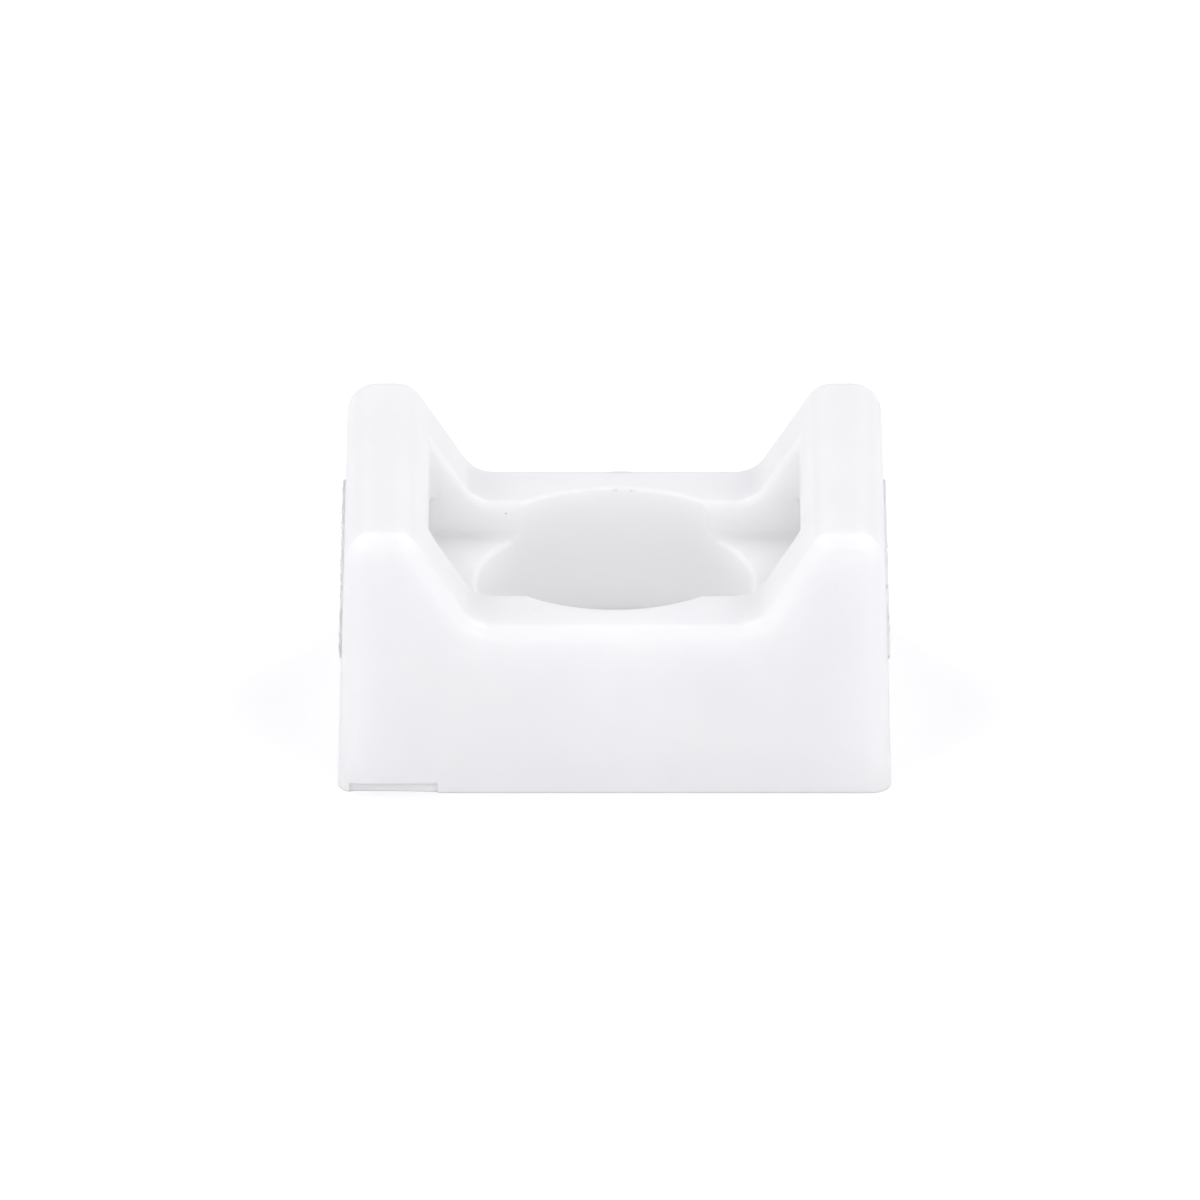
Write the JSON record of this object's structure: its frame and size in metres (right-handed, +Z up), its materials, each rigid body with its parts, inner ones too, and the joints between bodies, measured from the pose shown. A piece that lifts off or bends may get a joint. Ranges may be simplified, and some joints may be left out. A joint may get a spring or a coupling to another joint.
{
  "type": "cable tie mount",
  "caption": "Moulded nylon saddle mount for a cable tie, with slotted ears, a cradle for the bundle and a counterbored screw hole.",
  "frame": {"origin": "on the screw axis, in the plane of the foot that lies on the panel", "axes": "+X along the mount, the way the tie is threaded; +Y along the cable bundle; +Z up along the screw axis, away from the panel"},
  "size_m": [0.0222, 0.016, 0.0111],
  "materials": {
    "nylon": "natural white polyamide, satin from the mould, slightly translucent"
  },
  "bodies": {
    "root": {"saddle_mount": "nylon"}
  },
  "joints": []
}
